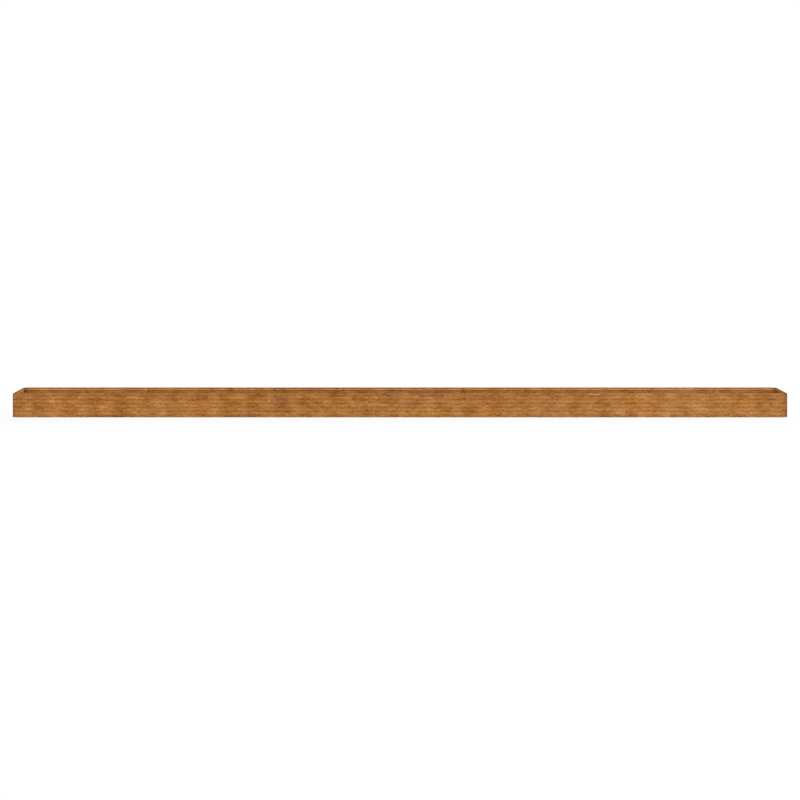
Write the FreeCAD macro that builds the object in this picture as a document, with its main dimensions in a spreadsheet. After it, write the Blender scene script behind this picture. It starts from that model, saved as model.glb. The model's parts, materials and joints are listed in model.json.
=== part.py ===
import FreeCAD, Part
import math
import os
import Sketcher
from types import SimpleNamespace

# Corten steel planter: a long bottomless bed bolted together from folded sheets of weathering steel.
# Lengths are in millimetres. X runs along the planter, the front faces minus Y, the ground is Z zero.

PANELS_PER_WALL = 12
BOLT_ROWS = 3
# Part of the height of a round bolt head that its rounded edge takes up
DOME_SHARE = 0.8

DIMENSIONS = [
    ("panel_pitch", 940, "length of one wall panel, joint to joint"),
    ("planter_width", 400, "outside, front wall to rear wall"),
    ("planter_height", 350, "ground to the top of the rim"),
    ("sheet_thickness", 1.5, "weathering steel sheet"),
    ("bend_radius", 2, "inside radius of every fold"),
    ("rim_depth", 25, "how far the rim reaches in from the outer face"),
    ("rim_drop", 35, "height of the return folded down from the rim"),
    ("foot_depth", 25, "how far the foot reaches in from the outer face"),
    ("flange_depth", 22, "how far the end flanges reach in from the outer face"),
    ("rim_relief", 7, "how far rim and foot stop short of a joint in the long walls"),
    ("corner_gap", 13, "space at the corners between the end of a rim and the line of the rim that it meets"),
    ("flange_relief", 4, "how far the flanges stop short of the top and the bottom"),
    ("corner_round", 4, "radius of the cut corners of flanges, foot, return and ties"),
    ("bolt_margin", 60, "ground to the lowest bolt, and the rim to the highest"),
    ("bolt_diameter", 6, "shank of the bolts"),
    ("hole_clearance", 0.6, "added to the shank for the holes in the sheets and the ties"),
    ("thread_clearance", 0.2, "added to the shank for the bore of the nuts"),
    ("thread_end", 1.8, "how far a shank stands out of its nut, at the ties or the corners"),
    ("head_flats", 10, "hexagon heads, across the flats"),
    ("head_height", 4, "hexagon heads"),
    ("button_diameter", 10.5, "round heads of the corner bolts"),
    ("button_height", 3.3, "round heads of the corner bolts"),
    ("socket_flats", 4, "key socket of the corner bolts, across the flats"),
    ("socket_depth", 2, "key socket of the corner bolts"),
    ("nut_flats", 10, "nuts, across the flats"),
    ("nut_height", 5, "nuts"),
    ("washer_diameter", 12, "washers, outside"),
    ("washer_clearance", 0.4, "added to the shank for the bore of the washers"),
    ("washer_thickness", 1.6, "washers"),
    ("tie_height", 30, "flat bar of the cross ties"),
    ("tie_thickness", 3, "flat bar of the cross ties"),
    ("tie_gap", 1.5, "space between the end of a cross tie and the fold of the wall"),
]


class Size:
    """A number together with the sheet expression that gives it."""

    def __init__(self, number, formula):
        self.number = number
        self.formula = formula

    def __add__(self, other):
        return Size(self.number + other.number, f"({self.formula} + {other.formula})")

    def __sub__(self, other):
        return Size(self.number - other.number, f"({self.formula} - {other.formula})")

    def __mul__(self, times):
        return Size(self.number * times, f"({self.formula} * {times})")

    def __truediv__(self, parts):
        return Size(self.number / parts, f"({self.formula} / {parts})")

    def __neg__(self):
        return self * -1


def larger(one, other):
    return Size(max(one.number, other.number), f"max({one.formula}; {other.formula})")


ZERO = Size(0, "0")


# Document and sheet

doc = FreeCAD.newDocument("corten_planter")
sheet = doc.addObject("Spreadsheet::Sheet", "dims")
for row, (alias, value, note) in enumerate(DIMENSIONS, start=1):
    sheet.set(f"A{row}", alias)
    sheet.set(f"B{row}", str(value))
    sheet.set(f"C{row}", note)
    sheet.setAlias(f"B{row}", alias)
doc.recompute()
size = SimpleNamespace(
    **{alias: Size(float(sheet.get(alias)), f"dims.{alias}") for alias, value, note in DIMENSIONS}
)

# Places shared by the pieces that meet there

half_length = size.panel_pitch * PANELS_PER_WALL / 2
half_width = size.planter_width / 2
hole_diameter = size.bolt_diameter + size.hole_clearance
bolt_line = (size.sheet_thickness + size.flange_depth) / 2
bolt_span = size.planter_height - size.bolt_margin * 2
bolt_row_step = bolt_span / (BOLT_ROWS - 1)
bolt_rows = [size.bolt_margin + bolt_row_step * row for row in range(BOLT_ROWS)]
middle_row = bolt_rows[BOLT_ROWS // 2]
front_bolts = bolt_line - half_width
first_joint = size.panel_pitch - half_length
end_face = half_length + size.sheet_thickness
corner_stack = size.sheet_thickness * 2 + size.washer_thickness + size.nut_height
corner_bolt_length = corner_stack + size.thread_end
joint_bolt_length = corner_bolt_length + size.washer_thickness + size.tie_thickness
corner_relief = larger(size.rim_depth, size.foot_depth) + size.corner_gap


# Sketches and features

def origin_feature(body, role):
    """Plane or axis of the body's own origin."""
    return [feature for feature in body.Origin.OriginFeatures if feature.Role == role][0]


def add_sketch(body, name, role, lift=ZERO):
    """Empty sketch on an origin plane, lifted along the plane's normal."""
    sketch = body.newObject("Sketcher::SketchObject", name)
    sketch.AttachmentSupport = [(origin_feature(body, role), "")]
    sketch.MapMode = "FlatFace"
    sketch.setExpression("AttachmentOffset.Base.z", lift.formula)
    return sketch


def hold(sketch, kind, *where, at):
    """Constraint whose value stays bound to a size of the sheet."""
    index = sketch.addConstraint(Sketcher.Constraint(kind, *where, at.number))
    sketch.setExpression(f"Constraints[{index}]", at.formula)


def hold_point(sketch, geometry, point, along_x, at):
    """Hold one coordinate of a point, on the axis itself where the coordinate is nothing."""
    if at is ZERO:
        axis = -2 if along_x else -1
        sketch.addConstraint(Sketcher.Constraint("PointOnObject", geometry, point, axis))
    else:
        hold(sketch, "DistanceX" if along_x else "DistanceY", -1, 1, geometry, point, at=at)


def draw_folded_strip(sketch, corners):
    """Outline of a folded sheet, from the corners of its outside face with the inside on their left."""
    thickness = size.sheet_thickness.number
    inner = size.bend_radius.number
    outer = inner + thickness
    points = [FreeCAD.Vector(across.number, up.number, 0) for across, up in corners]
    heading = [(after - before).normalize() for before, after in zip(points, points[1:])]
    inward = [FreeCAD.Vector(-step.y, step.x, 0) for step in heading]
    last = len(heading) - 1
    faces = []
    for depth in (0, thickness):
        lines = []
        for leg, step in enumerate(heading):
            begin = points[leg] + inward[leg] * depth + step * (outer if leg > 0 else 0)
            end = points[leg + 1] + inward[leg] * depth - step * (outer if leg < last else 0)
            line = sketch.addGeometry(Part.LineSegment(begin, end), False)
            direction = "Vertical" if abs(step.y) > 0.5 else "Horizontal"
            sketch.addConstraint(Sketcher.Constraint(direction, line))
            lines.append(line)
        faces.append(lines)
    for leg in range(last):
        centre = points[leg + 1] - heading[leg] * outer + inward[leg] * outer
        start = math.atan2(-inward[leg].y, -inward[leg].x)
        arcs = []
        for lines, radius in zip(faces, (outer, inner)):
            circle = Part.Circle(centre, FreeCAD.Vector(0, 0, 1), radius)
            arc = sketch.addGeometry(Part.ArcOfCircle(circle, start, start + math.pi / 2), False)
            sketch.addConstraint(Sketcher.Constraint("Tangent", lines[leg], 2, arc, 1))
            sketch.addConstraint(Sketcher.Constraint("Tangent", arc, 2, lines[leg + 1], 1))
            arcs.append(arc)
        sketch.addConstraint(Sketcher.Constraint("Coincident", arcs[0], 3, arcs[1], 3))
        hold(sketch, "Radius", arcs[1], at=size.bend_radius)
    for leg, end in ((0, 1), (last, 2)):
        outside = points[0] if leg == 0 else points[-1]
        inside = outside + inward[leg] * thickness
        cap = sketch.addGeometry(Part.LineSegment(outside, inside), False)
        direction = "Horizontal" if abs(heading[leg].y) > 0.5 else "Vertical"
        sketch.addConstraint(Sketcher.Constraint(direction, cap))
        sketch.addConstraint(Sketcher.Constraint("Coincident", cap, 1, faces[0][leg], end))
        sketch.addConstraint(Sketcher.Constraint("Coincident", cap, 2, faces[1][leg], end))
        across, up = corners[0] if leg == 0 else corners[-1]
        upright = abs(heading[leg].y) > 0.5
        hold_point(sketch, faces[0][leg], end, not upright, up if upright else across)
    hold(sketch, "Distance", cap, at=size.sheet_thickness)
    for leg, line in enumerate(faces[0]):
        upright = abs(heading[leg].y) > 0.5
        hold_point(sketch, line, 1, upright, corners[leg][0] if upright else corners[leg][1])


def draw_rectangle(sketch, left, right, bottom, top):
    """Rectangle with each side held at its own size."""
    corners = [(left, bottom), (right, bottom), (right, top), (left, top)]
    points = [FreeCAD.Vector(across.number, up.number, 0) for across, up in corners]
    lines = []
    for begin, end in zip(points, points[1:] + points[:1]):
        lines.append(sketch.addGeometry(Part.LineSegment(begin, end), False))
    for line, after in zip(lines, lines[1:] + lines[:1]):
        sketch.addConstraint(Sketcher.Constraint("Coincident", line, 2, after, 1))
    for line, direction in zip(lines, ("Horizontal", "Vertical", "Horizontal", "Vertical")):
        sketch.addConstraint(Sketcher.Constraint(direction, line))
    hold_point(sketch, lines[0], 1, True, left)
    hold_point(sketch, lines[0], 1, False, bottom)
    hold_point(sketch, lines[2], 1, True, right)
    hold_point(sketch, lines[2], 1, False, top)


def draw_holes(sketch, centres):
    """Round holes for the bolts."""
    for across, up in centres:
        centre = FreeCAD.Vector(across.number, up.number, 0)
        radius = hole_diameter.number / 2
        circle = sketch.addGeometry(Part.Circle(centre, FreeCAD.Vector(0, 0, 1), radius), False)
        hold(sketch, "Diameter", circle, at=hole_diameter)
        hold_point(sketch, circle, 3, True, across)
        hold_point(sketch, circle, 3, False, up)


def add_pad(body, name, sketch, length):
    pad = body.newObject("PartDesign::Pad", name)
    pad.Profile = sketch
    pad.setExpression("Length", length.formula)
    return pad


def add_through_holes(body, name, sketch, reverse):
    pocket = body.newObject("PartDesign::Pocket", name)
    pocket.Profile = sketch
    pocket.Type = "ThroughAll"
    pocket.Reversed = reverse


def add_rounds(body, name, base, radius, edge_points):
    """Round the edges of the base whose middles are the given points."""
    doc.recompute()
    edges = base.Shape.Edges
    names = []
    for point in edge_points:
        target = FreeCAD.Vector(*[place.number for place in point])
        distances = [(edge.CenterOfMass - target).Length for edge in edges]
        names.append(f"Edge{distances.index(min(distances)) + 1}")
    fillet = body.newObject("PartDesign::Fillet", name)
    fillet.Base = (base, names)
    fillet.setExpression("Radius", radius.formula)


def add_body(name):
    body = doc.addObject("PartDesign::Body", name)
    body.Label = name
    return body


def put(body, turn, x, y, z=ZERO):
    """Stand a piece in the planter, turned about the vertical by whole degrees."""
    body.Placement = FreeCAD.Placement(
        FreeCAD.Vector(0, 0, 0), FreeCAD.Rotation(FreeCAD.Vector(0, 0, 1), turn)
    )
    body.setExpression("Placement.Base.x", x.formula)
    body.setExpression("Placement.Base.y", y.formula)
    body.setExpression("Placement.Base.z", z.formula)


# Folded panels, drawn with the outer face on Y zero and the inside towards plus Y

def fold_rim_and_foot(body, begin, end):
    """Return, rim, wall and foot as one folded strip, from one place along the panel to another."""
    section = add_sketch(body, "rim_and_foot_section", "YZ_Plane", begin)
    draw_folded_strip(
        section,
        [
            (size.rim_depth, size.planter_height - size.rim_drop),
            (size.rim_depth, size.planter_height),
            (ZERO, size.planter_height),
            (ZERO, ZERO),
            (size.foot_depth, ZERO),
        ],
    )
    add_pad(body, "rim_and_foot", section, end - begin)


def rim_and_foot_corners(begin, end):
    """Middles of the four cut corners of the return and the foot."""
    half_sheet = size.sheet_thickness / 2
    corners = []
    for along in (begin, end):
        corners.append((along, size.rim_depth - half_sheet, size.planter_height - size.rim_drop))
        corners.append((along, size.foot_depth, half_sheet))
    return corners


def make_wall_panel(name, near_relief, far_relief):
    """One panel of a long wall, with a bolt flange folded inward at each end.

    Its rim and foot stop short of the ends by two reliefs, the near one at X zero.
    """
    body = add_body(name)
    begin = near_relief
    end = size.panel_pitch - far_relief
    fold_rim_and_foot(body, begin, end)
    plan = add_sketch(body, "flange_plan", "XY_Plane", size.flange_relief)
    draw_folded_strip(
        plan,
        [
            (ZERO, size.flange_depth),
            (ZERO, ZERO),
            (size.panel_pitch, ZERO),
            (size.panel_pitch, size.flange_depth),
        ],
    )
    flange_height = size.planter_height - size.flange_relief * 2
    wall = add_pad(body, "wall_and_flanges", plan, flange_height)
    corners = rim_and_foot_corners(begin, end)
    half_sheet = size.sheet_thickness / 2
    for across in (half_sheet, size.panel_pitch - half_sheet):
        for up in (size.flange_relief, size.planter_height - size.flange_relief):
            corners.append((across, size.flange_depth, up))
    add_rounds(body, "cut_corners", wall, size.corner_round, corners)
    holes = add_sketch(body, "joint_hole_plan", "YZ_Plane")
    draw_holes(holes, [(bolt_line, up) for up in bolt_rows])
    add_through_holes(body, "joint_holes", holes, True)
    return body


def make_end_panel(name):
    """One panel that closes an end, flat at its sides and bolted over the wall flanges."""
    body = add_body(name)
    begin = corner_relief
    end = size.planter_width - corner_relief
    fold_rim_and_foot(body, begin, end)
    plan = add_sketch(body, "wall_plan", "XY_Plane", size.flange_relief)
    draw_rectangle(plan, ZERO, size.planter_width, ZERO, size.sheet_thickness)
    wall = add_pad(body, "wall", plan, size.planter_height - size.flange_relief * 2)
    corners = rim_and_foot_corners(begin, end)
    add_rounds(body, "cut_corners", wall, size.corner_round, corners)
    holes = add_sketch(body, "corner_hole_plan", "XZ_Plane")
    sides = (bolt_line, size.planter_width - bolt_line)
    draw_holes(holes, [(across, up) for across in sides for up in bolt_rows])
    add_through_holes(body, "corner_holes", holes, False)
    return body


def make_cross_tie(name):
    """Flat bar from wall to wall, drawn in the middle of the planter with one face on X zero."""
    body = add_body(name)
    bolt_reach = half_width - bolt_line
    end_reach = half_width - size.sheet_thickness - size.bend_radius - size.tie_gap
    half_height = size.tie_height / 2
    outline = add_sketch(body, "bar_outline", "YZ_Plane")
    draw_rectangle(outline, -end_reach, end_reach, -half_height, half_height)
    bar = add_pad(body, "bar", outline, size.tie_thickness)
    corners = []
    for across in (-end_reach, end_reach):
        for up in (-half_height, half_height):
            corners.append((size.tie_thickness / 2, across, up))
    add_rounds(body, "cut_corners", bar, size.corner_round, corners)
    holes = add_sketch(body, "bolt_hole_plan", "YZ_Plane")
    draw_holes(holes, [(-bolt_reach, ZERO), (bolt_reach, ZERO)])
    add_through_holes(body, "bolt_holes", holes, True)
    return body


# Fasteners, each kind a group of separate solids patterned from one

def add_primitive(body, kind, name, x, y, up, **lengths):
    """Solid of revolution or prism along X from a given point."""
    solid = body.newObject(f"PartDesign::{kind}", name)
    solid.AttachmentSupport = [(origin_feature(body, "YZ_Plane"), "")]
    solid.MapMode = "FlatFace"
    solid.setExpression("AttachmentOffset.Base.x", y.formula)
    solid.setExpression("AttachmentOffset.Base.y", up.formula)
    solid.setExpression("AttachmentOffset.Base.z", x.formula)
    for setting, length in lengths.items():
        solid.setExpression(setting, length.formula)
    return solid


def add_hexagon(body, kind, name, x, y, up, flats, height):
    corner_radius = flats / math.sqrt(3)
    return add_primitive(body, kind, name, x, y, up, Circumradius=corner_radius, Height=height)


def add_bore(body, name, x, y, up, diameter, height):
    radius = diameter / 2
    add_primitive(body, "SubtractiveCylinder", name, x, y, up, Radius=radius, Height=height)


def add_nut(body, name, x, up):
    bore = size.bolt_diameter + size.thread_clearance
    add_hexagon(body, "AdditivePrism", name, x, front_bolts, up, size.nut_flats, size.nut_height)
    add_bore(body, f"{name}_bore", x, front_bolts, up, bore, size.nut_height)


def add_washer(body, name, x, up):
    radius = size.washer_diameter / 2
    height = size.washer_thickness
    bore = size.bolt_diameter + size.washer_clearance
    add_primitive(body, "AdditiveCylinder", name, x, front_bolts, up, Radius=radius, Height=height)
    add_bore(body, f"{name}_bore", x, front_bolts, up, bore, height)


def repeat(body, name, steps):
    """Repeat the whole body along axes (role, length, count) and across planes (role)."""
    doc.recompute()
    pattern = body.newObject("PartDesign::MultiTransform", name)
    transforms = []
    for step in steps:
        if isinstance(step, str):
            copy = body.newObject("PartDesign::Mirrored", f"{name}_mirror")
            copy.MirrorPlane = (origin_feature(body, step), [""])
        else:
            role, length, count = step
            copy = body.newObject("PartDesign::LinearPattern", f"{name}_row")
            copy.Direction = (origin_feature(body, role), [""])
            copy.setExpression("Length", length.formula)
            copy.Occurrences = count
        transforms.append(copy)
    pattern.Transformations = transforms
    pattern.TransformMode = "Whole shape"
    body.Tip = pattern


along_joints = ("X_Axis", size.panel_pitch * (PANELS_PER_WALL - 2), PANELS_PER_WALL - 1)
all_rows = ("Z_Axis", bolt_span, BOLT_ROWS)
outer_rows = ("Z_Axis", bolt_span, 2)
to_rear_wall = "XZ_Plane"
to_right_end = "YZ_Plane"


def make_joint_bolts(name):
    """Hexagon bolts through the flanges of neighbouring wall panels, heads to the left."""
    body = add_body(name)
    under_head = first_joint - size.sheet_thickness - size.washer_thickness
    low = bolt_rows[0]
    add_hexagon(
        body, "AdditivePrism", "head", under_head - size.head_height, front_bolts, low,
        size.head_flats, size.head_height,
    )
    add_primitive(
        body, "AdditiveCylinder", "shank", under_head, front_bolts, low,
        Radius=size.bolt_diameter / 2, Height=joint_bolt_length,
    )
    repeat(body, "joints", [all_rows, along_joints, to_rear_wall])
    return body


def make_joint_washers(name):
    """Washers under the heads and the nuts of the joint bolts, those at the ties beyond the bar."""
    body = add_body(name)
    head_side = first_joint - size.sheet_thickness - size.washer_thickness
    nut_side = first_joint + size.sheet_thickness
    add_washer(body, "head_washer", head_side, bolt_rows[0])
    add_washer(body, "nut_washer", nut_side, bolt_rows[0])
    repeat(body, "outer_rows", [outer_rows])
    add_washer(body, "tie_head_washer", head_side, middle_row)
    add_washer(body, "tie_nut_washer", nut_side + size.tie_thickness, middle_row)
    repeat(body, "joints", [along_joints, to_rear_wall])
    return body


def make_joint_nuts(name):
    """Nuts of the joint bolts, those at the ties beyond the bar."""
    body = add_body(name)
    nut_side = first_joint + size.sheet_thickness + size.washer_thickness
    add_nut(body, "nut", nut_side, bolt_rows[0])
    repeat(body, "outer_rows", [outer_rows])
    add_nut(body, "tie_nut", nut_side + size.tie_thickness, middle_row)
    repeat(body, "joints", [along_joints, to_rear_wall])
    return body


def make_corner_bolts(name):
    """Round-headed bolts through the end panels and the end flanges of the walls, heads outside."""
    body = add_body(name)
    left_face = -end_face
    head_top = left_face - size.button_height
    low = bolt_rows[0]
    head = add_primitive(
        body, "AdditiveCylinder", "head", head_top, front_bolts, low,
        Radius=size.button_diameter / 2, Height=size.button_height,
    )
    dome_radius = size.button_height * DOME_SHARE
    add_rounds(body, "dome", head, dome_radius, [(head_top, front_bolts, low)])
    add_primitive(
        body, "AdditiveCylinder", "shank", left_face, front_bolts, low,
        Radius=size.bolt_diameter / 2, Height=corner_bolt_length,
    )
    add_hexagon(
        body, "SubtractivePrism", "key_socket", head_top, front_bolts, low,
        size.socket_flats, size.socket_depth,
    )
    repeat(body, "corners", [all_rows, to_rear_wall, to_right_end])
    return body


def make_corner_washers(name):
    body = add_body(name)
    add_washer(body, "washer", size.sheet_thickness - half_length, bolt_rows[0])
    repeat(body, "corners", [all_rows, to_rear_wall, to_right_end])
    return body


def make_corner_nuts(name):
    body = add_body(name)
    nut_side = size.sheet_thickness + size.washer_thickness - half_length
    add_nut(body, "nut", nut_side, bolt_rows[0])
    repeat(body, "corners", [all_rows, to_rear_wall, to_right_end])
    return body


# Assembly

pieces = {}
for number in range(1, PANELS_PER_WALL + 1):
    left_joint = size.panel_pitch * (number - 1) - half_length
    left_relief = corner_relief if number == 1 else size.rim_relief
    right_relief = corner_relief if number == PANELS_PER_WALL else size.rim_relief
    front_panel = make_wall_panel(f"front_panel_{number:02d}", left_relief, right_relief)
    put(front_panel, 0, left_joint, -half_width)
    rear_panel = make_wall_panel(f"rear_panel_{number:02d}", right_relief, left_relief)
    put(rear_panel, 180, left_joint + size.panel_pitch, half_width)
    pieces[front_panel] = 1
    pieces[rear_panel] = 1

left_end_panel = make_end_panel("left_end_panel")
put(left_end_panel, -90, -end_face, half_width)
right_end_panel = make_end_panel("right_end_panel")
put(right_end_panel, 90, end_face, -half_width)
pieces[left_end_panel] = 1
pieces[right_end_panel] = 1

for number in range(1, PANELS_PER_WALL):
    joint = size.panel_pitch * number - half_length
    cross_tie = make_cross_tie(f"cross_tie_{number:02d}")
    put(cross_tie, 0, joint + size.sheet_thickness, ZERO, middle_row)
    pieces[cross_tie] = 1

joint_bolt_count = (PANELS_PER_WALL - 1) * BOLT_ROWS * 2
corner_bolt_count = BOLT_ROWS * 4
pieces[make_joint_bolts("joint_bolts")] = joint_bolt_count
pieces[make_joint_washers("joint_washers")] = joint_bolt_count * 2
pieces[make_joint_nuts("joint_nuts")] = joint_bolt_count
pieces[make_corner_bolts("corner_bolts")] = corner_bolt_count
pieces[make_corner_washers("corner_washers")] = corner_bolt_count
pieces[make_corner_nuts("corner_nuts")] = corner_bolt_count
doc.recompute()

# Every feature and every piece is looked over before the files are written

for item in doc.Objects:
    if "Invalid" in item.State or "Error" in item.State:
        raise RuntimeError(f"{item.Name} did not recompute: {item.State}")
    if item.TypeId == "PartDesign::Pocket" and item.Shape.Volume >= item.BaseFeature.Shape.Volume:
        raise RuntimeError(f"{item.Name} cuts nothing")
for piece, solids in pieces.items():
    if piece.Shape.isNull() or not piece.Shape.isValid():
        raise RuntimeError(f"{piece.Label} has no valid shape")
    if len(piece.Shape.Solids) != solids:
        raise RuntimeError(f"{piece.Label} has {len(piece.Shape.Solids)} solids, not {solids}")

os.makedirs("parts", exist_ok=True)
for piece in pieces:
    piece.Shape.exportStep(f"parts/{piece.Label}.step")
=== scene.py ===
"""Corten steel planter: the finish of its panels, ties and fasteners, with studio light and camera."""

import json
import math

import bpy
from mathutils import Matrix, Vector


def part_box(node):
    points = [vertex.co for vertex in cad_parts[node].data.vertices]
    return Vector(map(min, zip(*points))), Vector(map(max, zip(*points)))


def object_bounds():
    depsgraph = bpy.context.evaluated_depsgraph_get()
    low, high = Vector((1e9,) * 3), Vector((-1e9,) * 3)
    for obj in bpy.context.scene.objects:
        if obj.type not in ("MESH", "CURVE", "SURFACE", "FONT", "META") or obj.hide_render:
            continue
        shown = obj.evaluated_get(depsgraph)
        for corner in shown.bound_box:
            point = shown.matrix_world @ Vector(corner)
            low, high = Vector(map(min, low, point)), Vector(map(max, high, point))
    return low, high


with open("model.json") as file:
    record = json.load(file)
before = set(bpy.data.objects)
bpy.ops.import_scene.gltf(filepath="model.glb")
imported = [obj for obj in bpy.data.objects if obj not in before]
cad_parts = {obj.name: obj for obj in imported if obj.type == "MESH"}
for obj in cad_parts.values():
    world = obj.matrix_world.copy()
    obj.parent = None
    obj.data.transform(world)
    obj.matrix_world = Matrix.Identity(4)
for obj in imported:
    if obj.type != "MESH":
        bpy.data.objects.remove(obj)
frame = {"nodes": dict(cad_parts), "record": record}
cad_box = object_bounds()
nodes = frame["nodes"]
scene = bpy.context.scene

MM = 0.001

# Sizes of the planter, read from the frame, and the height of the lip folded down from its rim
half_width = cad_box[1][1]
rim_height = cad_box[1][2]
end_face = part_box("right_end_panel")[1].x
panel_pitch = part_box("front_panel_02")[0].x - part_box("front_panel_01")[0].x
RIM_DROP = 35 * MM

# The photograph, in its own pixels: 800 by 800, and where the front wall and the rims lie in it
IMAGE = 800
FRONT_LEFT = 12.7
FRONT_RIGHT = 787.1
REAR_LEFT = 23.95
REAR_RIGHT = 776.05
FRONT_RIM_ROW = 393.4
REAR_RIM_ROW = 387.4

# Most values of a noise lie between these two, about this middle
NOISE_LOW = 0.3
NOISE_HIGH = 0.7
NOISE_MIDDLE = 0.5
# Refraction of every rust layer
RUST_IOR = 1.5


def linear(hex_colour):
    """sRGB hex to the linear colour that shaders take."""
    channels = [int(hex_colour[i:i + 2], 16) / 255 for i in (1, 3, 5)]
    return tuple(c / 12.92 if c <= 0.04045 else ((c + 0.055) / 1.055) ** 2.4 for c in channels) + (1.0,)


def add_node(tree, kind, sockets=None, stops=None, **settings):
    """Add a node with its settings and its ramp's stops, each socket set to a value or linked."""
    node = tree.nodes.new(kind)
    for name, value in settings.items():
        setattr(node, name, value)
    for name, value in (sockets or {}).items():
        if isinstance(value, bpy.types.NodeSocket):
            tree.links.new(value, node.inputs[name])
        else:
            node.inputs[name].default_value = value
    if stops:
        ramp = node.color_ramp.elements
        while len(ramp) < len(stops):
            ramp.new(1.0)
        for element, (place, colour) in zip(ramp, stops):
            element.position = place
            element.color = linear(colour)
    return node


def new_material(name):
    material = bpy.data.materials.new(name)
    material.use_nodes = True
    material.node_tree.nodes.clear()
    return material


# Weathering steel panels

# Rust patterns on a sheet: length and height of a patch in mm, detail, raggedness and share in the tone.
# The grain is drawn about six times coarser than the grit of real rust, so that it shows from close by
SHEET_PATTERNS = (
    ("weather", 2600, 1200, 1.0, 0.0, 0.24),
    ("clouds", 420, 200, 2.0, 0.0, 0.18),
    ("blotches", 130, 50, 5.0, 0.6, 0.2),
    ("streaks", 60, 18, 6.0, 1.2, 0.22),
    ("run-off", 22, 420, 2.0, 0.2, 0.08),
    ("scabs", 26, 18, 5.0, 1.0, 0.2),
    ("grain", 3.2, 2.8, 6.0, 0.5, 0.2),
)
PATTERN_BREAKUP = 0.66
# The grain breaks up into dark and pale flecks, which gather in the blotches, streaks and scabs: how
# strongly they gather there, then for each fleck where in the grain it begins and is full, its tone and
# the part of the sheet that it covers
GATHERING = (("blotches", 0.62), ("streaks", 0.68), ("scabs", 0.42))
FLECKS = ((-0.04, -0.16, -0.25, 0.22), (0.04, 0.17, 0.19, 0.2))
# Dark patches where rain dried last, one in each cell of this length and height in mm, in rows that
# climb along the wall: how far they stray from the middle of a cell, the mean distance from a patch in
# cells, and their share
PATCH_CELL = (390, 190)
PATCH_CLIMB = 0.13
PATCH_SCATTER = 0.3
PATCH_MIDDLE = 0.38
PATCH_SHARE = 0.2
# The length after which a wave of scale 1 repeats
WAVE_LENGTH = math.pi / 10
# Upright bands in which the patches gather, one to the length of a cell: how they waver, their share
DRYING_WAVER = {"Distortion": 1.5, "Detail": 2.0, "Detail Scale": 1.0}
DRYING_SHARE = 0.06
# Level bands left by the mill's rolls: height in mm, where they begin, how they waver and their share
ROLL_BAND = 57
ROLL_PHASE = 2.6
ROLL_WAVER = {"Distortion": 1.6, "Detail": 2.0, "Detail Scale": 0.5}
ROLL_SHARE = 0.14
# How far the marks along the laps, corners, ground line and fold reach, in mm, and their tone: painted
# shade on the laps, where their bends catch the lamps, darker corners and fold, and a stain at the
# ground line. The streaks stretch the distances from them between two factors, which makes the marks
# ragged
# Painted shade on the laps, which dulls the light that the bends of the seams catch
SEAM_SHADE_REACH = 4
SEAM_PAINTED_SHADE = -0.12
# Darker within this reach in mm of the upright corners
CORNER_REACH = 34
CORNER_TONE = -0.24
FOOT_REACH = 26
FOOT_TONE = -0.25
# Darker along the fold of the rim, within this reach in mm
FOLD_REACH = 6
FOLD_TONE = -0.3
MARK_STRETCH = (0.6, 1.6)
# Beside the joints of the long walls, on the inside: how far in mm painted light lifts the shade below
# the fold of the rim, its level, and how far painted shade darkens the fold along the rim and down from
# it
JOINT_LIGHT_REACH = 14
JOINT_PAINTED_LIGHT = 0.3
JOINT_SHADE_REACH = 20
JOINT_SHADE_DEPTH = 14
JOINT_PAINTED_SHADE = -0.9
# A point is inside the wall from this depth in mm under its outer face, and counts as beside a joint
# from this distance in mm to the end panels
INSIDE_DEPTH = 1
CLEAR_OF_ENDS = 60
# A face looks into the planter from the first of these values to the second, as its normal turns inward
INWARD_BEGIN = -0.4
INWARD_FULL = -0.8
# Painted light on the faces that look into the planter: the lip is painted paler, for the light that
# falls on it, with a dark band along its upper part that fades between two depths in mm, and the soil
# side gets painted light that lifts its shade, with its deeper colour, fading in over a height in mm
# below the lip
LIP_PAINTED_LIGHT = 0.34
LIP_BAND_TONE = -0.52
LIP_BAND_FULL = 8
LIP_BAND_END = 18
# Painted light that lifts the shade on the soil side below the lip
SOIL_SIDE_PAINTED_LIGHT = 0.1
SOIL_SIDE_DEPTH = 0.05
LIP_LIGHT_FADE_DEPTH = 30
# How much paler the wall is at the ground
GROUND_PALER_TONE = 0.08
# Rust from thick and damp to thin and dry, and the tone of the sheet between its marks
MEAN_TONE = 0.485
RUST_COLOURS = (
    (0.0, "#5a330c"), (0.1, "#6b3f11"), (0.3, "#8f5621"),
    (0.5, "#a66d36"), (0.7, "#bb824c"), (0.9, "#d09b67"),
)
# Hue between blotches, how far the grain turns it from yellow to orange, and depth of colour in clouds
HUE_RANGE = (0.5135, 0.52)
GRAIN_HUE = -0.03
DEPTH_RANGE = (0.985, 1.045)
# Roughness between blotches, how much hands and tools polish the fold of the rim, the sheen, and the
# height in mm and strength of the rust's relief
SHEET_ROUGHNESS = (0.8, 0.96)
FOLD_POLISH = -0.1
SHEET_SHEEN = 0.25
RUST_RELIEF = 0.9
RUST_RELIEF_STRENGTH = 0.8


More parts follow.
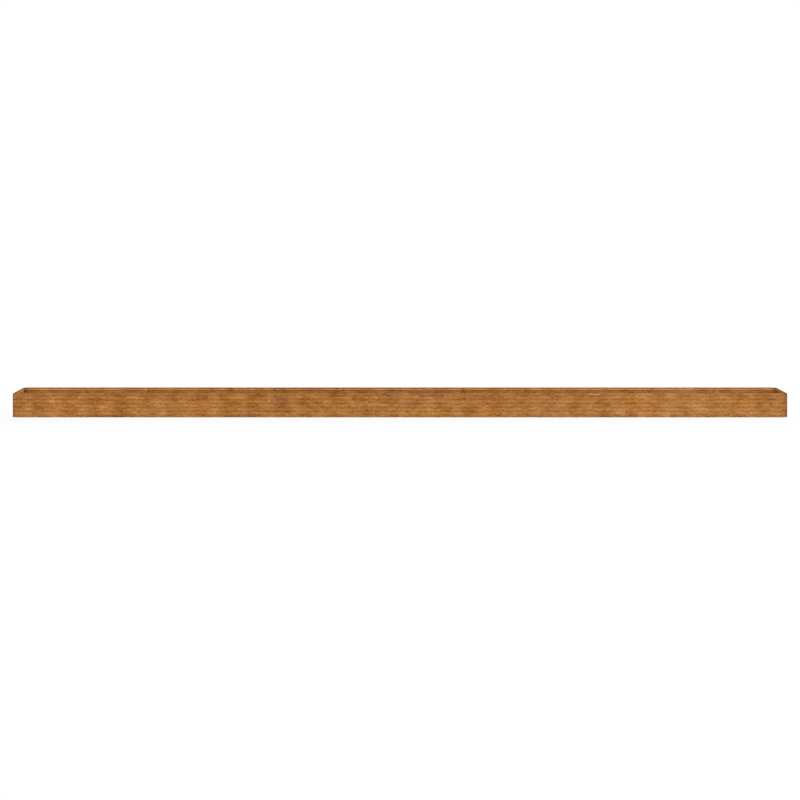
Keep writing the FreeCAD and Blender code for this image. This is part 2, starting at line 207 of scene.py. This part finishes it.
def rusted_weathering_steel(name):
    """Weathering steel sheet, rolled, folded and left in the rain until its rust layer closed.

    A dull golden brown. The rust follows the rolling direction in short ragged streaks, with darker
    patches between, and close to it breaks up into dark and pale flecks, as rough as coarse sandpaper.
    The fold of the rim is darker, and smoother where hands and tools rub it, and the corners are darker.
    Painted shade darkens the laps, where their bends catch the lamps, and the ground line is stained.
    Painted light makes the lips that hang in the planter pale under a dark band, and lifts the shade on
    the soil side below them and beside the joints on the inside, where painted shade darkens the fold.
    """
    material = new_material(name)
    tree = material.node_tree
    place = add_node(tree, "ShaderNodeTexCoord").outputs["Object"]
    axes = add_node(tree, "ShaderNodeSeparateXYZ", {0: place}).outputs

    # Each pattern as (value, its middle, its share in the tone)
    layers = []
    pattern = {}
    for kind, length, height, detail, raggedness, share in SHEET_PATTERNS:
        stretch = (1 / (length * MM), 1 / (length * MM), 1 / (height * MM))
        stretched = add_node(
            tree, "ShaderNodeVectorMath", {0: place, 1: stretch}, operation="MULTIPLY"
        ).outputs[0]
        pattern[kind] = add_node(
            tree, "ShaderNodeTexNoise",
            {"Vector": stretched, "Scale": 1.0, "Detail": detail, "Roughness": PATTERN_BREAKUP,
             "Distortion": raggedness},
        ).outputs["Fac"]
        layers.append((pattern[kind], NOISE_MIDDLE, share))

    roll_bands = add_node(
        tree, "ShaderNodeTexWave",
        {"Vector": place, "Scale": WAVE_LENGTH / (ROLL_BAND * MM), "Phase Offset": ROLL_PHASE,
         **ROLL_WAVER},
        wave_type="BANDS", bands_direction="Z",
    ).outputs["Fac"]
    layers.append((roll_bands, NOISE_MIDDLE, ROLL_SHARE))

    along = add_node(tree, "ShaderNodeMath", {0: axes["X"], 1: axes["Y"]}, operation="ADD").outputs[0]
    climbing = add_node(
        tree, "ShaderNodeMath", {0: along, 1: PATCH_CLIMB, 2: axes["Z"]}, operation="MULTIPLY_ADD"
    ).outputs[0]
    unfolded = add_node(tree, "ShaderNodeCombineXYZ", {"X": along, "Y": climbing}).outputs[0]
    drying_bands = add_node(
        tree, "ShaderNodeTexWave",
        {"Vector": unfolded, "Scale": WAVE_LENGTH / (PATCH_CELL[0] * MM), **DRYING_WAVER},
        wave_type="BANDS", bands_direction="X",
    ).outputs["Fac"]
    layers.append((drying_bands, NOISE_MIDDLE, DRYING_SHARE))
    cells = (1 / (PATCH_CELL[0] * MM), 1 / (PATCH_CELL[1] * MM), 0.0)
    in_cells = add_node(
        tree, "ShaderNodeVectorMath", {0: unfolded, 1: cells}, operation="MULTIPLY"
    ).outputs[0]
    patches = add_node(
        tree, "ShaderNodeTexVoronoi", {"Vector": in_cells, "Scale": 1.0, "Randomness": PATCH_SCATTER},
        voronoi_dimensions="2D", feature="F1",
    ).outputs["Distance"]
    layers.append((patches, PATCH_MIDDLE, PATCH_SHARE))

    thickness = pattern["grain"]
    for kind, pull in GATHERING:
        thickness = add_node(
            tree, "ShaderNodeMath", {0: pattern[kind], 1: pull, 2: thickness}, operation="MULTIPLY_ADD"
        ).outputs[0]
    middle_thickness = NOISE_MIDDLE * (1 + sum(pull for _, pull in GATHERING))
    for begin, full, share, cover in FLECKS:
        flecks = add_node(
            tree, "ShaderNodeMapRange",
            {"Value": thickness, "From Min": middle_thickness + begin,
             "From Max": middle_thickness + full},
            interpolation_type="SMOOTHSTEP",
        ).outputs[0]
        layers.append((flecks, cover, share))

    # Faces that look into the planter: down to the rim's drop they are its lips, below it the soil side,
    # both with painted light
    turned = add_node(tree, "ShaderNodeNewGeometry").outputs["True Normal"]
    outward = add_node(
        tree, "ShaderNodeVectorMath", {0: place, 1: (1 / end_face, 1 / half_width, 0.0)},
        operation="MULTIPLY",
    ).outputs[0]
    facing = add_node(
        tree, "ShaderNodeVectorMath", {0: turned, 1: outward}, operation="DOT_PRODUCT"
    ).outputs["Value"]
    inner = add_node(
        tree, "ShaderNodeMapRange", {"Value": facing, "From Min": INWARD_BEGIN, "From Max": INWARD_FULL}
    ).outputs[0]
    from_rim = add_node(
        tree, "ShaderNodeMath", {0: rim_height, 1: axes["Z"]}, operation="SUBTRACT"
    ).outputs[0]
    below_lip = RIM_DROP + LIP_LIGHT_FADE_DEPTH * MM
    # Painted light on the lip, a dark band along its upper part, and painted light on the soil side
    inner_marks = (
        ("lip", below_lip, RIM_DROP, LIP_PAINTED_LIGHT),
        ("lip band", LIP_BAND_END * MM, LIP_BAND_FULL * MM, LIP_BAND_TONE),
        ("soil side", RIM_DROP, below_lip, SOIL_SIDE_PAINTED_LIGHT),
    )
    for kind, low, high, share in inner_marks:
        level = add_node(
            tree, "ShaderNodeMapRange", {"Value": from_rim, "From Min": low, "From Max": high}
        ).outputs[0]
        pattern[kind] = add_node(
            tree, "ShaderNodeMath", {0: inner, 1: level}, operation="MULTIPLY"
        ).outputs[0]
        layers.append((pattern[kind], 0.0, share))

    # Distances from the laps, corners, ground and fold of the rim, for the painted shade on the laps,
    # the darker corners and fold, and the stain at the ground line
    beside = {}
    for axis, size in (("X", end_face), ("Y", half_width)):
        off_middle = add_node(tree, "ShaderNodeMath", {0: axes[axis]}, operation="ABSOLUTE").outputs[0]
        beside[axis] = add_node(
            tree, "ShaderNodeMath", {0: size, 1: off_middle}, operation="SUBTRACT"
        ).outputs[0]
    to_joint = add_node(
        tree, "ShaderNodeMath", {0: axes["X"], 1: panel_pitch / 2}, operation="PINGPONG"
    ).outputs[0]
    to_seam = add_node(
        tree, "ShaderNodeMath", {0: to_joint, 1: beside["Y"]}, operation="MAXIMUM"
    ).outputs[0]
    to_corner = add_node(
        tree, "ShaderNodeMath", {0: beside["X"], 1: beside["Y"]}, operation="MAXIMUM"
    ).outputs[0]
    ragged = add_node(
        tree, "ShaderNodeMapRange",
        {"Value": pattern["streaks"], "From Min": NOISE_LOW, "From Max": NOISE_HIGH,
         "To Min": MARK_STRETCH[0], "To Max": MARK_STRETCH[1]},
    ).outputs[0]
    # Painted shade on the seams, darker corners and fold, and a stain at the foot
    marks = (
        ("seam", to_seam, SEAM_SHADE_REACH, SEAM_PAINTED_SHADE),
        ("corner", to_corner, CORNER_REACH, CORNER_TONE),
        ("foot", axes["Z"], FOOT_REACH, FOOT_TONE),
        ("fold", from_rim, FOLD_REACH, FOLD_TONE),
    )
    for kind, distance, reach, share in marks:
        uneven = add_node(
            tree, "ShaderNodeMath", {0: distance, 1: ragged}, operation="MULTIPLY"
        ).outputs[0]
        pattern[kind] = add_node(
            tree, "ShaderNodeMapRange",
            {"Value": uneven, "From Min": 0.0, "From Max": reach * MM, "To Min": 1.0, "To Max": 0.0},
            interpolation_type="SMOOTHSTEP",
        ).outputs[0]
        layers.append((pattern[kind], 0.0, share))

    # Beside the joints inside: painted light lifts the shade below the fold of the rim, painted shade
    # darkens the fold
    under_face = add_node(
        tree, "ShaderNodeMath", {0: beside["Y"], 1: INSIDE_DEPTH * MM}, operation="GREATER_THAN"
    ).outputs[0]
    off_ends = add_node(
        tree, "ShaderNodeMath", {0: beside["X"], 1: CLEAR_OF_ENDS * MM}, operation="GREATER_THAN"
    ).outputs[0]
    inside = add_node(
        tree, "ShaderNodeMath", {0: under_face, 1: off_ends}, operation="MULTIPLY"
    ).outputs[0]
    # Painted light below the fold beside the joints, then painted shade on the fold
    joint_marks = (
        (FOLD_REACH, JOINT_SHADE_DEPTH, JOINT_LIGHT_REACH, JOINT_PAINTED_LIGHT),
        (JOINT_SHADE_DEPTH, FOLD_REACH, JOINT_SHADE_REACH, JOINT_PAINTED_SHADE),
    )
    for none, full, reach, share in joint_marks:
        level = add_node(
            tree, "ShaderNodeMapRange",
            {"Value": from_rim, "From Min": none * MM, "From Max": full * MM},
        ).outputs[0]
        near = add_node(
            tree, "ShaderNodeMapRange",
            {"Value": to_joint, "From Min": 0.0, "From Max": reach * MM, "To Min": 1.0, "To Max": 0.0},
            interpolation_type="SMOOTHSTEP",
        ).outputs[0]
        near = add_node(tree, "ShaderNodeMath", {0: near, 1: inside}, operation="MULTIPLY").outputs[0]
        near = add_node(tree, "ShaderNodeMath", {0: near, 1: level}, operation="MULTIPLY").outputs[0]
        layers.append((near, 0.0, share))

    # Paler towards the ground
    layers.append((from_rim, rim_height / 2, GROUND_PALER_TONE / rim_height))

    tone = MEAN_TONE
    for value, middle, share in layers:
        tone = add_node(
            tree, "ShaderNodeMath", {0: value, 1: share, 2: tone}, operation="MULTIPLY_ADD"
        ).outputs[0]
    tone = add_node(
        tree, "ShaderNodeMath", {0: tone, 1: sum(middle * share for _, middle, share in layers)},
        operation="SUBTRACT",
    ).outputs[0]
    rust = add_node(tree, "ShaderNodeValToRGB", {"Fac": tone}, stops=RUST_COLOURS).outputs["Color"]
    hue = add_node(
        tree, "ShaderNodeMapRange",
        {"Value": pattern["blotches"], "From Min": NOISE_LOW, "From Max": NOISE_HIGH,
         "To Min": HUE_RANGE[0], "To Max": HUE_RANGE[1]},
    ).outputs[0]
    hue = add_node(
        tree, "ShaderNodeMath", {0: pattern["grain"], 1: GRAIN_HUE, 2: hue}, operation="MULTIPLY_ADD"
    ).outputs[0]
    depth = add_node(
        tree, "ShaderNodeMapRange",
        {"Value": pattern["clouds"], "From Min": NOISE_LOW, "From Max": NOISE_HIGH,
         "To Min": DEPTH_RANGE[0], "To Max": DEPTH_RANGE[1]},
    ).outputs[0]
    depth = add_node(
        tree, "ShaderNodeMath", {0: pattern["soil side"], 1: SOIL_SIDE_DEPTH, 2: depth},
        operation="MULTIPLY_ADD",
    ).outputs[0]
    rust = add_node(
        tree, "ShaderNodeHueSaturation", {"Hue": hue, "Saturation": depth, "Color": rust}
    ).outputs["Color"]

    rough = add_node(
        tree, "ShaderNodeMapRange",
        {"Value": pattern["blotches"], "To Min": SHEET_ROUGHNESS[0], "To Max": SHEET_ROUGHNESS[1]},
    ).outputs[0]
    rough = add_node(
        tree, "ShaderNodeMath", {0: pattern["fold"], 1: FOLD_POLISH, 2: rough}, operation="MULTIPLY_ADD"
    ).outputs[0]
    bump = add_node(
        tree, "ShaderNodeBump",
        {"Height": thickness, "Strength": RUST_RELIEF_STRENGTH, "Distance": RUST_RELIEF * MM},
    ).outputs["Normal"]
    shader = add_node(
        tree, "ShaderNodeBsdfPrincipled",
        {"Base Color": rust, "Roughness": rough, "Metallic": 0.0, "IOR": RUST_IOR,
         "Specular IOR Level": SHEET_SHEEN, "Normal": bump},
    )
    add_node(tree, "ShaderNodeOutputMaterial", {"Surface": shader.outputs[0]})
    return material


# Cross ties

# Patterns on a bar: size of a patch in mm and detail, and the share of the grain in the speckle
TIE_PATTERNS = (("scale", 38, 4.0), ("mottle", 12, 3.0), ("grain", 2.5, 2.0))
TIE_BREAKUP = 0.6
TIE_GRAIN_SHARE = 0.4
TIE_COLOURS = ((0.2, "#4a2b14"), (0.45, "#6f4320"), (0.62, "#8a5428"), (0.8, "#a2683a"))
# Mill scale: where in its pattern it begins and is full, its colour and how far it stands up
SCALE_EDGE = (0.56, 0.62)
SCALE_COLOUR = "#4d4744"
SCALE_RISE = 0.8
# Roughness of rust and of scale, sheen, and the height in mm and strength of the relief
TIE_ROUGHNESS = (0.88, 0.5)
TIE_SHEEN = 0.3
TIE_RELIEF = 0.4
TIE_RELIEF_STRENGTH = 0.6


def rusted_hot_rolled_bar(name):
    """Flat bar of plain steel, hot rolled and sawn, which rusts where its mill scale has flaked off.

    A darker red brown than the panels, mottled, with smooth blue-grey islands of scale that shine dully.
    """
    material = new_material(name)
    tree = material.node_tree
    place = add_node(tree, "ShaderNodeTexCoord").outputs["Object"]
    pattern = {}
    for kind, size, detail in TIE_PATTERNS:
        pattern[kind] = add_node(
            tree, "ShaderNodeTexNoise",
            {"Vector": place, "Scale": 1 / (size * MM), "Detail": detail, "Roughness": TIE_BREAKUP},
        ).outputs["Fac"]
    speckle = add_node(
        tree, "ShaderNodeMath", {0: pattern["grain"], 1: TIE_GRAIN_SHARE, 2: pattern["mottle"]},
        operation="MULTIPLY_ADD",
    ).outputs[0]
    tone = add_node(
        tree, "ShaderNodeMath", {0: speckle, 1: NOISE_MIDDLE * TIE_GRAIN_SHARE}, operation="SUBTRACT"
    ).outputs[0]
    rust = add_node(tree, "ShaderNodeValToRGB", {"Fac": tone}, stops=TIE_COLOURS).outputs["Color"]
    scale = add_node(
        tree, "ShaderNodeMapRange",
        {"Value": pattern["scale"], "From Min": SCALE_EDGE[0], "From Max": SCALE_EDGE[1]},
        interpolation_type="SMOOTHSTEP",
    ).outputs[0]
    colour = add_node(
        tree, "ShaderNodeMix", {0: scale, 6: rust, 7: linear(SCALE_COLOUR)}, data_type="RGBA"
    ).outputs[2]
    rough = add_node(
        tree, "ShaderNodeMapRange",
        {"Value": scale, "To Min": TIE_ROUGHNESS[0], "To Max": TIE_ROUGHNESS[1]},
    ).outputs[0]
    relief = add_node(
        tree, "ShaderNodeMath", {0: scale, 1: SCALE_RISE, 2: speckle}, operation="MULTIPLY_ADD"
    ).outputs[0]
    bump = add_node(
        tree, "ShaderNodeBump",
        {"Height": relief, "Strength": TIE_RELIEF_STRENGTH, "Distance": TIE_RELIEF * MM},
    ).outputs["Normal"]
    shader = add_node(
        tree, "ShaderNodeBsdfPrincipled",
        {"Base Color": colour, "Roughness": rough, "IOR": RUST_IOR, "Specular IOR Level": TIE_SHEEN,
         "Normal": bump},
    )
    add_node(tree, "ShaderNodeOutputMaterial", {"Surface": shader.outputs[0]})
    return material


# Bolts, washers and nuts

# Size in mm and detail of the patches of thick and thin rust and of its grain
BOLT_PATCH = 9
BOLT_PATCH_DETAIL = 4.0
BOLT_GRAIN = 1.2
BOLT_GRAIN_DETAIL = 2.0
BOLT_COLOURS = ((0.3, "#3f2616"), (0.5, "#5c3a20"), (0.7, "#83542b"))
# Roughness from dark rust to pale, sheen, and the height in mm and strength of the relief
BOLT_ROUGHNESS = (0.55, 0.85)
BOLT_SHEEN = 0.4
BOLT_RELIEF = 0.15
BOLT_RELIEF_STRENGTH = 0.5


def rusted_bolt_steel(name):
    """Weathering steel bolts, washers and nuts, cold headed, under a thin rust of their own.

    A purple brown, darker and smoother than the sheet, because a cold-headed face rusts finely.
    """
    material = new_material(name)
    tree = material.node_tree
    place = add_node(tree, "ShaderNodeTexCoord").outputs["Object"]
    patches = add_node(
        tree, "ShaderNodeTexNoise",
        {"Vector": place, "Scale": 1 / (BOLT_PATCH * MM), "Detail": BOLT_PATCH_DETAIL},
    ).outputs["Fac"]
    grain = add_node(
        tree, "ShaderNodeTexNoise",
        {"Vector": place, "Scale": 1 / (BOLT_GRAIN * MM), "Detail": BOLT_GRAIN_DETAIL},
    ).outputs["Fac"]
    colour = add_node(tree, "ShaderNodeValToRGB", {"Fac": patches}, stops=BOLT_COLOURS).outputs["Color"]
    rough = add_node(
        tree, "ShaderNodeMapRange",
        {"Value": patches, "From Min": NOISE_LOW, "From Max": NOISE_HIGH,
         "To Min": BOLT_ROUGHNESS[0], "To Max": BOLT_ROUGHNESS[1]},
    ).outputs[0]
    bump = add_node(
        tree, "ShaderNodeBump",
        {"Height": grain, "Strength": BOLT_RELIEF_STRENGTH, "Distance": BOLT_RELIEF * MM},
    ).outputs["Normal"]
    shader = add_node(
        tree, "ShaderNodeBsdfPrincipled",
        {"Base Color": colour, "Roughness": rough, "IOR": RUST_IOR, "Specular IOR Level": BOLT_SHEEN,
         "Normal": bump},
    )
    add_node(tree, "ShaderNodeOutputMaterial", {"Surface": shader.outputs[0]})
    return material


# Every piece gets the finish of its slot
finishes = {
    "weathering_steel": rusted_weathering_steel("rusted_weathering_steel"),
    "tie_steel": rusted_hot_rolled_bar("rusted_hot_rolled_bar"),
    "fastener_steel": rusted_bolt_steel("rusted_bolt_steel"),
}
slots = {part["node"]: part["material_slot"] for part in frame["record"]["subparts"]}
for name, piece in nodes.items():
    piece.data.materials.clear()
    piece.data.materials.append(finishes[slots[name]])


# White studio: floor and surroundings show white, and light the planter softly from all round. The
# floor's own paint, with the planter's shadow on it, shows through by a small share, and it looks white
# but throws back only as much light as a pale grey one. The floor's size is in metres, and it lies a
# little under the planter's feet, in mm
WHITE = "#ffffff"
FLOOR_SIZE = 120
FLOOR_DROP = 0.5
FLOOR_SHADOW = 0.11
FLOOR_WHITE = "#f2f2f2"
FLOOR_GREY = "#a8a8a8"
SKY_LEVEL = 0.35
# Lamps: degrees round from the front towards the right, degrees up, level on a face square to it, and
# the width in degrees of each lamp as the planter sees it
LAMPS = (("key", 62, 32, 0.6), ("fill", -24, 14, 0.52), ("back", 165, 40, 0.55))
LAMP_SPREAD = 40
# Camera: width of its sensor in mm and how far it sees in metres
SENSOR_WIDTH = 36
SIGHT = 500


def rays_that_see_white(tree):
    """Camera, mirror and see-through rays, which meet the plain white of the studio."""
    path = add_node(tree, "ShaderNodeLightPath").outputs
    seen = path["Is Camera Ray"]
    for ray in ("Is Glossy Ray", "Is Transmission Ray"):
        seen = add_node(tree, "ShaderNodeMath", {0: seen, 1: path[ray]}, operation="MAXIMUM").outputs[0]
    return seen


def lay_studio_floor():
    bpy.ops.mesh.primitive_plane_add(size=FLOOR_SIZE, location=(0, 0, -FLOOR_DROP * MM))
    floor = bpy.context.active_object
    floor.name = "floor"
    material = new_material("matt_white_floor_paint")
    tree = material.node_tree
    seen = rays_that_see_white(tree)
    share = add_node(
        tree, "ShaderNodeMath", {0: seen, 1: 1 - FLOOR_SHADOW}, operation="MULTIPLY"
    ).outputs[0]
    paint = add_node(
        tree, "ShaderNodeMix", {0: seen, 6: linear(FLOOR_GREY), 7: linear(FLOOR_WHITE)},
        data_type="RGBA",
    ).outputs[2]
    lit = add_node(tree, "ShaderNodeBsdfDiffuse", {"Color": paint}).outputs[0]
    white = add_node(tree, "ShaderNodeEmission", {"Color": linear(WHITE), "Strength": 1.0}).outputs[0]
    mix = add_node(tree, "ShaderNodeMixShader", {0: share, 1: lit, 2: white}).outputs[0]
    add_node(tree, "ShaderNodeOutputMaterial", {"Surface": mix})
    floor.data.materials.append(material)


def light_the_studio():
    world = bpy.data.worlds.new("white_studio")
    scene.world = world
    world.use_nodes = True
    tree = world.node_tree
    tree.nodes.clear()
    strength = add_node(
        tree, "ShaderNodeMapRange",
        {"Value": rays_that_see_white(tree), "To Min": SKY_LEVEL, "To Max": 1.0},
    ).outputs[0]
    sky = add_node(tree, "ShaderNodeBackground", {"Color": linear(WHITE), "Strength": strength})
    add_node(tree, "ShaderNodeOutputWorld", {"Surface": sky.outputs[0]})
    for name, azimuth, elevation, level in LAMPS:
        data = bpy.data.lights.new(name + "_lamp", "SUN")
        data.energy = level * math.pi
        data.angle = math.radians(LAMP_SPREAD)
        lamp = bpy.data.objects.new(name + "_lamp", data)
        lamp.rotation_euler = (math.radians(90 - elevation), 0, math.radians(azimuth))
        scene.collection.objects.link(lamp)


def place_camera():
    """Level camera in front, whose distance, lens and shift follow from the measured rims."""
    front_span = FRONT_RIGHT - FRONT_LEFT
    rear_span = REAR_RIGHT - REAR_LEFT
    distance = 2 * half_width / (front_span / rear_span - 1)
    focal_pixels = front_span * distance / (2 * end_face)
    below_horizon = (FRONT_RIM_ROW - REAR_RIM_ROW) / (1 - rear_span / front_span)
    camera_height = rim_height + below_horizon * distance / focal_pixels
    data = bpy.data.cameras.new("camera")
    camera = bpy.data.objects.new("camera", data)
    scene.collection.objects.link(camera)
    camera.location = (0, -half_width - distance, camera_height)
    camera.rotation_euler = (math.radians(90), 0, 0)
    data.sensor_width = SENSOR_WIDTH
    data.lens = focal_pixels / IMAGE * SENSOR_WIDTH
    data.shift_y = (FRONT_RIM_ROW - below_horizon - IMAGE / 2) / IMAGE
    data.clip_end = SIGHT
    scene.camera = camera


lay_studio_floor()
light_the_studio()
place_camera()
scene.view_settings.view_transform = "Standard"
